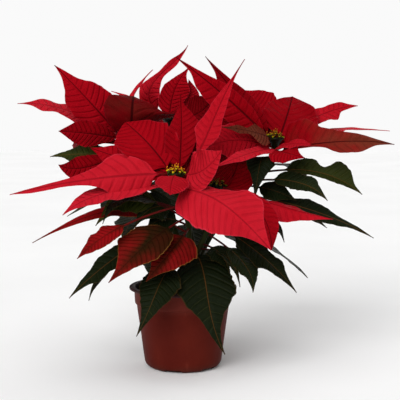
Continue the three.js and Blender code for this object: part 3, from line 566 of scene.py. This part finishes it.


# In the blade skins, lit is painted light on the body colour, and margin is a margin line that is partly a
# painted lit rim.
BRACT_SKIN = blade_material("bract_skin", {
    "body": (206, 5, 26), "lit": (208, 34, 50), "patch": (160, 82, 58), "mottle": (180, 2, 20),
    "under": (160, 12, 32), "vein": (92, 2, 12), "midrib": (84, 2, 10), "margin": (220, 56, 74),
    "stalk": (110, 16, 18),
}, {"strength": 0.55, "share_when_bright": 0.5, "width": 0.055, "patches": 0.08},
    roughness=0.55, relief=0.001, specular=0.02)
LEAF_SKIN = blade_material("leaf_skin", {
    "body": (6, 15, 2), "lit": (17, 27, 9), "patch": (46, 52, 12), "mottle": (8, 15, 4),
    "under": (32, 37, 18), "vein": (92, 90, 50), "midrib": (100, 62, 26), "margin": (72, 54, 24),
    "stalk": (64, 16, 16),
}, {"strength": 0.48, "share_when_bright": 1.0, "width": 0.024, "patches": 0.1},
    roughness=0.42, relief=0.0009, specular=0.05)
TURNING_SKIN = blade_material("turning_skin", {
    "body": (136, 14, 18), "lit": (136, 14, 18), "patch": (30, 23, 6), "mottle": (84, 14, 10),
    "under": (90, 36, 26), "vein": (34, 10, 4), "midrib": (40, 10, 6), "margin": (132, 88, 40),
    "stalk": (84, 20, 18),
}, {"strength": 0.55, "share_when_bright": 1.0, "width": 0.036, "patches": 0.2},
    roughness=0.5, relief=0.001, specular=0.02)
STEM_SKIN = stem_material()
FLOWER_SKIN = flower_material()


class Skin:
    """A mesh made of strips. Each strip is a row of rings, and has its own cell in the bake layout."""

    CELL_INSET = 0.04

    def __init__(self):
        self.strips = []

    def add(self, rings, tones, grain=None):
        """rings, tones and grain are alike: rows of one entry for each point of a ring."""
        self.strips.append((rings, tones, grain or [[(0.0, 0.0)] * len(ring) for ring in rings]))

    def faces(self, bake_layout):
        """The faces between neighbouring rings, and the corners of each in the bake layout."""
        faces, layout = [], []
        cells_across = math.ceil(math.sqrt(len(self.strips)))
        cells_up = math.ceil(len(self.strips) / cells_across)
        first = 0
        for number, (rings, _, _) in enumerate(self.strips):
            columns = len(rings[0])
            steps = len(rings) - 1
            cell_x, cell_y = number % cells_across, number // cells_across

            def place(i, j):
                x = self.CELL_INSET + (1 - 2 * self.CELL_INSET) * j / columns
                y = self.CELL_INSET + (1 - 2 * self.CELL_INSET) * i / steps
                return ((cell_x + x) / cells_across, (cell_y + y) / cells_up)

            for i in range(steps):
                low = first + i * columns
                high = low + columns
                for j in range(columns):
                    k = (j + 1) % columns
                    faces.append([low + j, low + k, high + k, high + j])
                    if bake_layout:
                        layout += [place(i, j), place(i, j + 1), place(i + 1, j + 1), place(i + 1, j)]
            first += len(rings) * columns
        return faces, layout

    def build(self, name, material, bake_layout=True, sharp_angle=50):
        points, tones, grain = [], [], []
        for rings, strip_tones, strip_grain in self.strips:
            for ring, ring_tones, ring_grain in zip(rings, strip_tones, strip_grain):
                points += [point * MM for point in ring]
                tones += ring_tones
                grain += ring_grain
        faces, layout = self.faces(bake_layout)
        mesh = bpy.data.meshes.new(name)
        mesh.from_pydata(points, [], faces)
        grain_map = mesh.uv_layers.new(name="Grain")
        for loop in mesh.loops:
            grain_map.data[loop.index].uv = grain[loop.vertex_index]
        if bake_layout:
            bake_map = mesh.uv_layers.new(name="OFBake")
            for corner, place in zip(bake_map.data, layout):
                corner.uv = place
        colours = mesh.color_attributes.new("Tone", "FLOAT_COLOR", "POINT")
        for index, tone in enumerate(tones):
            colours.data[index].color = tone
        work = bmesh.new()
        work.from_mesh(mesh)
        bmesh.ops.remove_doubles(work, verts=work.verts, dist=1e-6)
        work.to_mesh(mesh)
        work.free()
        mesh.shade_smooth()
        mesh.set_sharp_from_angle(angle=math.radians(sharp_angle))
        mesh.materials.append(material)
        return place_in_scene(name, mesh)


def place_in_scene(name, data):
    """A new object in the scene, of the mesh, light or camera given."""
    piece = bpy.data.objects.new(name, data)
    bpy.context.scene.collection.objects.link(piece)
    return piece


def declare(piece, node):
    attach(piece, "root")
    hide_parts(node)


def turned(profile, columns, tone, x=0.0, y=0.0, wobble=None):
    """Rings of a body turned round an upright axis. profile holds (radius, height)."""
    rings = []
    for radius, height in profile:
        ring = []
        for j in range(columns):
            angle = 2 * math.pi * j / columns
            grown, raised = wobble(radius, height, angle) if wobble else (radius, height)
            ring.append(Vector((x + grown * math.cos(angle), y + grown * math.sin(angle), raised)))
        rings.append(ring)
    return rings, [[tone] * columns for _ in rings]


def ball_profile(radius, height, z, steps):
    """The outline of a ball, or of one drawn out upwards, with its middle at z."""
    angles = [math.pi * k / steps for k in range(steps + 1)]
    return [(radius * math.sin(angle), z - height * math.cos(angle)) for angle in angles]


def swept(curve, radius, columns, tone):
    """Rings of a round tube along a curve. radius takes the share of the way along."""
    rings = []
    side = Vector((0.0, 1.0, 0.0))
    for i, centre in enumerate(curve):
        before, after = curve[max(0, i - 1)], curve[min(len(curve) - 1, i + 1)]
        along = (after - before).normalized()
        side = (side - side.dot(along) * along).normalized()
        left = side.cross(along)
        size = radius(i / (len(curve) - 1))
        rings.append([centre + size * (math.cos(a) * left + math.sin(a) * side)
                      for a in (2 * math.pi * j / columns for j in range(columns))])
    rings = [[curve[0].copy()] * columns] + rings + [[curve[-1].copy()] * columns]
    return rings, [[tone] * columns for _ in rings]


def stem_curve(points, steps=60):
    """Centripetal Catmull-Rom curve through the points, at even steps of its parameter."""
    spots = [Vector(point) for point in points]
    spots = [2 * spots[0] - spots[1]] + spots + [2 * spots[-1] - spots[-2]]
    spans = len(points) - 1
    curve = []
    for step in range(steps + 1):
        place = min(step / steps * spans, spans - 1e-6)
        first = int(place)
        near = spots[first:first + 4]
        knots = [0.0]
        for before, after in zip(near, near[1:]):
            knots.append(knots[-1] + (after - before).length ** 0.5)
        t = knots[1] + (place - first) * (knots[2] - knots[1])

        def between(a, b, low, high):
            return ((knots[high] - t) * a + (t - knots[low]) * b) / (knots[high] - knots[low])

        sides = [between(near[k], near[k + 1], k, k + 1) for k in range(3)]
        middles = [between(sides[k], sides[k + 1], k, k + 2) for k in range(2)]
        curve.append(between(*middles, 1, 2))
    return curve


def nearest_on(curve, point):
    return min(curve, key=lambda spot: (spot - Vector(point)).length)


def rib_point(points, t):
    """The polynomial curve through evenly spaced points."""
    last = len(points) - 1
    result = Vector((0.0, 0.0, 0.0))
    for i, point in enumerate(points):
        weight = 1.0
        for j in range(last + 1):
            if j != i:
                weight *= (t * last - j) / (i - j)
        result += weight * Vector(point)
    return result


def outline(shares, u):
    """Smooth curve through the shares at even steps, from the stalk's width to nothing."""
    values = [0.6] + list(shares) + [0.0]
    place = min(u, 0.99999) * (len(values) - 1)
    i = int(place)
    steps = [values[k + 1] - values[k] for k in range(len(values) - 1)]

    def slope(k):
        if k in (0, len(values) - 1):
            return steps[0] * 1.5 if k == 0 else steps[-1]
        before, after = steps[k - 1], steps[k]
        return 0.0 if before * after <= 0 else 2 * before * after / (before + after)

    x = place - i
    return (values[i] * (1 + 2 * x) * (1 - x) ** 2 + slope(i) * x * (1 - x) ** 2
            + values[i + 1] * x * x * (3 - 2 * x) + slope(i + 1) * x * x * (x - 1)) / 10


def blade_axes(points, face, twist, t):
    """Where the rib is at t, and which way left and up are there."""
    along = (rib_point(points, t + 0.001) - rib_point(points, t - 0.001)).normalized()
    up = Vector(face)
    up = (up - up.dot(along) * along).normalized()
    turn = Matrix.Rotation(math.radians(twist * (t - 0.5)), 3, along)
    return rib_point(points, t), turn @ up.cross(along), turn @ up


def blade_surface(s, u, half, kind, number, fold, seed):
    """The upper face at s, from 1 on the left margin to -1 on the right one: how far it is from the
    rib along the skin and sideways, and how high it is."""
    # The terms in number and side only shift the waves, so that no two margins are alike.
    side = 1 if s >= 0 else -1
    away = abs(s)
    fade = math.sin(math.pi * u) ** 0.5 if 0 < u < 1 else 0.0
    uneven = math.sin(19 * u * math.pi + number + side) + math.sin(31 * u * math.pi + 2 * number)
    half *= 1 + MARGIN[kind] * fade * uneven
    tooth_depth, teeth = TEETH[kind]
    off_tooth = abs((teeth * u + 0.37 * number + 0.2 * side) % 1 - 0.5)
    half *= 1 + tooth_depth * fade * max(0.0, 1 - 4 * off_tooth)
    half = max(half, LEAST_HALF_WIDTH)
    wave = WAVE_SHARE * half * math.sin(2 * math.pi * WAVE_TURNS * u + number * side)
    ruffle_turn = 2 * math.pi * RUFFLE_TURNS * u + 2.1 * number + 1.3 * side
    ruffle = RUFFLE[kind] * half * fade * math.sin(ruffle_turn)
    crumple = CRUMPLE * fade * away * noise.noise(Vector((u * CRUMPLE_ALONG, s * CRUMPLE_ACROSS, seed)))
    lift = (math.sqrt(s * s + 0.01) - 0.1) * half * math.sin(fold)
    lift += wave * away ** 1.4 + ruffle * away ** 3 + crumple
    return s * half, s * half * math.cos(fold), lift


def add_blade(skin, foot, number, kind, tone, patches, rib, width, face, form, fold=0, twist=0):
    """One blade on its stalk: rings run over the upper face from left to right, and back below."""
    points = [foot] + rib[1:]
    stalk, *sides = FORMS[form]
    length = (Vector(points[-1]) - rib_point(points, stalk)).length
    spacing = max(length, 1.5 * width) / VEIN_PAIRS[kind]
    seed = 0.37 * (length + 30 * number)
    spread = [1 - 2 * j / (BLADE_COLUMNS - 1) for j in range(BLADE_COLUMNS)]
    spread = [math.copysign(abs(s) ** 1.15, s) for s in spread]
    ring_places = [(s, 0.0) for s in spread] + [(s, 1.0) for s in reversed(spread)]
    steps = [(stalk * i / STALK_ROWS, 0.0) for i in range(STALK_ROWS)]
    steps += [(stalk + (1 - stalk) * i / BLADE_ROWS, i / BLADE_ROWS) for i in range(BLADE_ROWS + 1)]
    rings, tones, grain = [], [], []
    for t, u in steps:
        centre, left, up = blade_axes(points, face, twist, t)
        opened = smooth(u, 0.0, STALK_MEETS_BLADE)
        mark = length * u / spacing if u > 0 else (t - stalk) * STALK_GRAIN
        covered = patches[0] + (patches[1] - patches[0]) * u
        ring, ring_tones, ring_grain = [], [], []
        for s, under in ring_places:
            half = outline(sides[0] if s >= 0 else sides[-1], u) * width / 2
            flat, lateral, lift = blade_surface(s, u, half, kind, number, math.radians(fold), seed)
            bow = math.sqrt(max(0.0, 1 - s * s))
            if under:
                keel = KEEL_HEIGHT * (1 - 0.8 * u) * math.exp(-(flat / KEEL_HALF_WIDTH) ** 2)
                lift -= BLADE_THICKNESS * (1 - 0.4 * abs(s)) + keel
            stalk_side = s * STALK_WIDTH / 2
            stalk_lift = -1 + (-bow if under else bow)
            ring.append(centre + left * (stalk_side + (lateral - stalk_side) * opened)
                        + up * (stalk_lift + (lift - stalk_lift) * opened))
            # The first channel is the blade's painted light and shade.
            ring_tones.append((tone, covered, under, abs(s)))
            ring_grain.append((mark, flat / spacing if u > 0 else 0.0))
        rings.append(ring)
        tones.append(ring_tones)
        grain.append(ring_grain)
    root, tip = ([rib_point(points, t)] * len(ring_places) for t in (0, 1))
    skin.add([root] + rings + [tip], tones[:1] + tones + tones[-1:], grain[:1] + grain + grain[-1:])


def bract_foot(head, root):
    """Upright bracts start in the receptacle's rim, on the side they grow to; lower ones on its axis."""
    x, y, z = head
    rim_middle = z + RECEPTACLE_GAP + RECEPTACLE_HEIGHT - RIM_THICKNESS / 2
    if root[2] < rim_middle - LOW_BRACT_DROP:
        return Vector((x, y, max(root[2], z + LOW_BRACT_RISE)))
    out = Vector((root[0] - x, root[1] - y, 0.0)).normalized() * (RIM_RADIUS - STALK_WIDTH / 2)
    return Vector((x, y, rim_middle)) + out


def pot_profiles():
    """The pot's outside, from the middle of its foot over its lip, and its inside back down."""
    outside = [(0, 0), (18, 0), (34, 0), (37.5, 0.4), (40.2, 1.8), (42, 4), (FOOT_RADIUS, FOOT_CURVE)]
    slope = (LEDGE_RADIUS - FOOT_RADIUS) / (BAND_FOOT - FOOT_CURVE)
    outside += [(FOOT_RADIUS + slope * (z - FOOT_CURVE), z) for z in range(10, BAND_FOOT - 1, 3)]
    outside += [(LEDGE_RADIUS, BAND_FOOT), (LEDGE_RADIUS + 0.9, BAND_FOOT + 0.7), (53.3, BAND_FOOT + 1.6),
                (53.6, BAND_FOOT + 3), (54, 79), (54.4, 85.6), (54.9, 86.6), (56, 87), (59, 87.1),
                (59.7, 87.5), (LIP_RADIUS, 88.5), (59.7, 89.5), (59, POT_HEIGHT), (55, POT_HEIGHT),
                (53.6, 89.6), (53, 88)]
    inside = [(52.4, 79), (52, BAND_FOOT + 2), (50, BAND_FOOT), (46, 40), (41.5, POT_FLOOR + 2),
              (40, POT_FLOOR), (0, POT_FLOOR)]
    return outside, inside


def pot_cutter():
    """What is cut from the pot: notches round its foot, and drain holes between them."""
    cutters = bmesh.new()
    notch_size = Matrix.Diagonal((NOTCH_WIDTH * MM, NOTCH_WIDTH * MM, 2 * NOTCH_HEIGHT * MM, 1))
    for i in range(NOTCH_COUNT):
        angle = NOTCH_TURN + i * 2 * math.pi / NOTCH_COUNT
        notch = Matrix.Rotation(angle, 4, "Z") @ Matrix.Translation((FOOT_RADIUS * MM, 0, 0))
        bmesh.ops.create_cube(cutters, size=1.0, matrix=notch @ notch_size)
        hole = Matrix.Rotation(angle + math.pi / NOTCH_COUNT, 4, "Z")
        hole = hole @ Matrix.Translation((DRAIN_CIRCLE_RADIUS * MM, 0, 0))
        bmesh.ops.create_cone(cutters, segments=24, radius1=DRAIN_RADIUS * MM, radius2=DRAIN_RADIUS * MM,
                              depth=DRAIN_DEPTH * MM, cap_ends=True, matrix=hole)
    mesh = bpy.data.meshes.new("pot_cuts")
    cutters.to_mesh(mesh)
    cutters.free()
    return place_in_scene("pot_cuts", mesh)


def build_pot():
    """The pot's shell as one turned strip, with the notches and drain holes cut from it."""
    def ripple(radius, height, angle):
        wave = noise.noise(Vector((math.cos(angle) * 1.6, math.sin(angle) * 1.6, height / 26)))
        share = smooth(height, 4, 30) * smooth(radius, 30, 42)
        return radius * (1 + POT_RIPPLE * wave * share), height

    outside, inside = pot_profiles()
    skin = Skin()
    rings, tones = turned(outside + inside, POT_COLUMNS, PLAIN_TONE, wobble=ripple)
    for i in range(len(outside) - 1, len(rings)):
        tones[i] = [INNER_TONE] * POT_COLUMNS
    skin.add(rings, tones)
    pot = skin.build("nursery_pot", pot_material(), bake_layout=False, sharp_angle=35)
    cutter = pot_cutter()
    cut = pot.modifiers.new("cuts", "BOOLEAN")
    cut.object = cutter
    cut.solver = "EXACT"
    graph = bpy.context.evaluated_depsgraph_get()
    finished = bpy.data.meshes.new_from_object(pot.evaluated_get(graph))
    pot.modifiers.clear()
    pot.data = finished
    bpy.data.objects.remove(cutter)
    declare(pot, "pot")


def add_crumb(skin, draw):
    """One crumb of peat, at a random place on the soil."""
    far, angle = CRUMB_REACH * math.sqrt(draw.random()), draw.uniform(0, 2 * math.pi)
    size, seed = draw.uniform(*CRUMB_SIZES), draw.uniform(0, 90)

    def crumble(radius, height, turn):
        rough = 1 + 0.5 * noise.noise(Vector((math.cos(turn) * 2, math.sin(turn) * 2, height + seed)))
        return radius * rough, SOIL_TOP - CRUMB_SINK + height * rough

    x, y = far * math.cos(angle), far * math.sin(angle)
    skin.add(*turned(ball_profile(size, size, 0, 6), 9, PLAIN_TONE, x, y, crumble))


def build_soil():
    """Loose peat: an uneven surface with crumbs on it, down to the pot's floor."""
    def lumps(radius, height, angle):
        if height < SOIL_TOP - 3:
            return radius, height
        place = Vector((radius * math.cos(angle), radius * math.sin(angle), 0.0))
        rough = sum(high * noise.noise(place / wide) for high, wide in SOIL_LUMPS)
        return radius, height - 0.8 + rough * smooth(52 - radius, 0, 3)

    floor = POT_FLOOR + 0.4
    profile = [(0, floor), (39, floor), (49.4, BAND_FOOT), (51.2, BAND_FOOT + 2), (SOIL_RADIUS, SOIL_TOP)]
    profile += [(SOIL_RING_STEP * ring, SOIL_TOP) for ring in range(SOIL_RINGS, -1, -1)]
    skin = Skin()
    skin.add(*turned(profile, SOIL_COLUMNS, PLAIN_TONE, wobble=lumps))
    draw = random.Random(7)
    for _ in range(SOIL_CRUMBS):
        add_crumb(skin, draw)
    declare(skin.build("peat_soil", soil_material(), bake_layout=False, sharp_angle=80), "soil")


def build_trunk():
    """The short woody base, uneven where branches left it."""
    def scars(radius, height, angle):
        knot = noise.noise(Vector((math.cos(angle) * 1.4, math.sin(angle) * 1.4, height / 6)))
        return radius * (1 + TRUNK_KNOTS * knot), height

    profile = [(0, TRUNK_FOOT), (6.9, TRUNK_FOOT), (6.9, 80), (6.6, 86), (6.1, 96), (6.4, 102), (6.2, 110),
               (5.2, 114.5), (3, TRUNK_TOP), (0, TRUNK_TOP)]
    skin = Skin()
    skin.add(*turned(profile, 40, PLAIN_TONE, *TRUNK_AXIS, scars))
    declare(skin.build("woody_base", STEM_SKIN), "trunk")


def add_stamen(skin, draw, start, red, anther):
    """A red thread that leans at random, with its anther."""
    lean = draw.uniform(0, 2 * math.pi)
    rise = draw.uniform(1.2, 3.8)
    end = start + Vector((THREAD_REACH * math.cos(lean), THREAD_REACH * math.sin(lean), rise))
    curve = [start.lerp(end, k / 4) for k in range(5)]
    skin.add(*swept(curve, lambda share: THREAD_RADIUS, 6, red))
    skin.add(*turned(ball_profile(ANTHER_RADIUS, ANTHER_RADIUS, end.z, 4), 7, anther, end.x, end.y))


def build_flowers(place, head):
    """Small true flowers in the middle of a head: green cups with a yellow lip and red threads."""
    hub_x, hub_y, foot = head[0], head[1], head[2] + RECEPTACLE_HEIGHT + 2 * RECEPTACLE_GAP
    # Each flower colour is darkened by the head's painted shade.
    green, lip, red, anther = (dimmed(colour, FLOWER_PAINTED_SHADE[place]) for colour in (
        linear(44, 62, 10), linear(210, 186, 20), linear(120, 12, 14), linear(240, 150, 26)))
    ring_of = [ring for ring in FLOWER_RINGS for _ in range(ring[0])]
    draw = random.Random(len(place))
    skin = Skin()
    for number, (count, ring_radius, rise) in enumerate(ring_of):
        angle = number * 2 * math.pi / count + draw.uniform(-0.35, 0.35)
        reach = ring_radius + draw.uniform(-0.8, 0.8)
        size = draw.uniform(*CUP_SIZES)
        base = foot + rise + draw.uniform(-0.9, 0.9)
        x, y = hub_x + reach * math.cos(angle), hub_y + reach * math.sin(angle)
        is_open = number % 3 != 1
        cup = [(size * far, base + size * high) for far, high in CUP]
        rings, tones = turned(cup, CUP_COLUMNS, green, x, y)
        for row in LIP_ROWS:
            tones[row] = [lip] * CUP_COLUMNS
        for row in THROAT_ROWS:
            tones[row] = [red if is_open else lip] * CUP_COLUMNS
        skin.add(rings, tones)
        gland_x, gland_y = x + 0.9 * size * math.cos(angle), y + 0.9 * size * math.sin(angle)
        gland = ball_profile(0.55 * size, 0.45 * size, base + 2.1 * size, 6)
        skin.add(*turned(gland, 10, lip, gland_x, gland_y))
        for _ in range(THREADS if is_open else 1):
            add_stamen(skin, draw, Vector((x, y, base + 2.3 * size)), red, anther)
    declare(skin.build(f"{place}_flowers", FLOWER_SKIN), f"cyathia_{place}")


def build_head(place, head):
    """The bracts of one head in their layers, on the green hub at the end of the stem."""
    skin = Skin()
    for number, row in enumerate(BRACTS[place]):
        foot = bract_foot(head, row[0][0])
        patches = BRACT_PATCHES.get((place, number), (0.0, 0.0))
        add_blade(skin, foot, number, "bract", BRACT_PAINTED_SHADING[place][number], patches, *row)
    declare(skin.build(f"{place}_bracts", BRACT_SKIN), f"bracts_{place}")

    x, y, z = head
    foot = z + RECEPTACLE_GAP
    top = foot + RECEPTACLE_HEIGHT
    profile = [(0, foot), (3.5, foot), (4, z + 8), (5, top - 7), (8.2, top - 3.6), (9.6, top - 2),
               (9.3, top - 0.7), (7, top - 0.1), (0, top)]
    hub = Skin()
    # The hub's dark green is darkened by the head's painted shade.
    hub.add(*turned(profile, 28, dimmed(linear(22, 24, 7), FLOWER_PAINTED_SHADE[place]), x, y))
    declare(hub.build(f"{place}_hub", FLOWER_SKIN), f"bracts_{place}")


def build_leafy_stem(place, curve):
    """A stem with swollen nodes where its leaves leave it, and the leaves."""
    feet = [nearest_on(curve, row[0][0]) for row in LEAVES[place]]
    nodes = [curve.index(foot) / (len(curve) - 1) for foot in feet]

    def thickness(share):
        swelling = sum(math.exp(-((share - node) / NODE_LENGTH) ** 2) for node in nodes)
        return STEM_RADIUS * (1 - STEM_TAPER * share) + NODE_SWELLING * min(1.0, swelling)

    stem = Skin()
    stem.add(*swept(curve, thickness, 16, PLAIN_TONE))
    declare(stem.build(f"{place}_stem", STEM_SKIN), f"leafy_stem_{place}")

    skin = Skin()
    for number, (row, foot) in enumerate(zip(LEAVES[place], feet)):
        patches = LEAF_PATCHES.get((place, number), (0.05, 0.1))
        add_blade(skin, foot, number, "leaf", LEAF_PAINTED_SHADING[place][number], patches, *row)
    declare(skin.build(f"{place}_leaves", LEAF_SKIN), f"leafy_stem_{place}")


def build_plant():
    """Each stem with its leaves, bracts and flowers, and the transitional leaves on the front one."""
    for place, points in STEMS.items():
        build_leafy_stem(place, stem_curve(points))
        build_head(place, points[-1])
        build_flowers(place, points[-1])
    front_stem = stem_curve(STEMS["front"])
    for number, (name, row) in enumerate(TURNING.items()):
        foot = nearest_on(front_stem, row[0][0])
        skin = Skin()
        add_blade(skin, foot, number, "turning", TURNING_PAINTED_SHADING[name], TURNING_PATCHES[name], *row)
        declare(skin.build(f"{name}_blade", TURNING_SKIN), name)


def build_floor():
    """A plain pale floor, a little brighter than its light so that it meets the background."""
    nodes = Nodes(bpy.data.materials.new("studio_floor"))
    grain = nodes.noise(3.0, 2.0)
    colour = nodes.mix(nodes.band(grain, 0.3, 0.7), (0.93, 0.93, 0.93, 1), (0.96, 0.96, 0.96, 1))
    mesh = bpy.data.meshes.new("studio_floor")
    mesh.from_pydata([(-6, -6, 0), (6, -6, 0), (6, 6, 0), (-6, 6, 0)], [], [(0, 1, 2, 3)])
    mesh.materials.append(nodes.finish(colour, 0.9, grain, 0.0001, specular=0.0, glow=0.01))
    floor = place_in_scene("studio_floor", mesh)


def build_backdrop():
    """A near-white world behind the scene, which itself gives only a faint light."""
    world = bpy.data.worlds.new("studio")
    bpy.context.scene.world = world
    nodes = Nodes(world)
    faint = nodes.add("ShaderNodeBackground", {0: (1, 0.99, 0.98, 1), 1: 0.14})
    white = nodes.add("ShaderNodeBackground", {0: (1, 1, 1, 1), 1: 0.955})
    seen = nodes.add("ShaderNodeLightPath", {}, "Is Camera Ray")
    mixed = nodes.add("ShaderNodeMixShader", {0: seen, 1: faint, 2: white})
    nodes.add("ShaderNodeOutputWorld", {0: mixed})


def soft_light(name, place, spread, strength):
    """A far, wide light that looks at the plant's middle: even, with soft shadows."""
    light = bpy.data.lights.new(name, "SUN")
    light.angle = math.radians(spread)
    light.energy = strength
    lamp = place_in_scene(name, light)
    lamp.location = place
    lamp.rotation_euler = (Vector(PLANT_MIDDLE) - Vector(place)).to_track_quat("-Z", "Y").to_euler()


def build_camera():
    data = bpy.data.cameras.new("camera")
    data.sensor_width = CAMERA_SENSOR
    data.lens = CAMERA_LENS
    camera = place_in_scene("camera", data)
    camera.location = CAMERA_PLACE
    camera.rotation_euler = (math.radians(90 - CAMERA_TILT), 0, 0)
    bpy.context.scene.camera = camera
    bpy.context.scene.view_settings.view_transform = "Standard"


build_floor()
build_backdrop()
soft_light("key", (-0.55, -1.2, 1.0), 45, 2.5)
soft_light("fill", (1.2, -1.0, 0.5), 60, 0.4)
soft_light("top", (0.1, -0.1, 1.5), 60, 0.9)
soft_light("back", (0.5, 1.3, 0.9), 60, 0.9)
build_camera()
build_pot()
build_soil()
build_trunk()
build_plant()
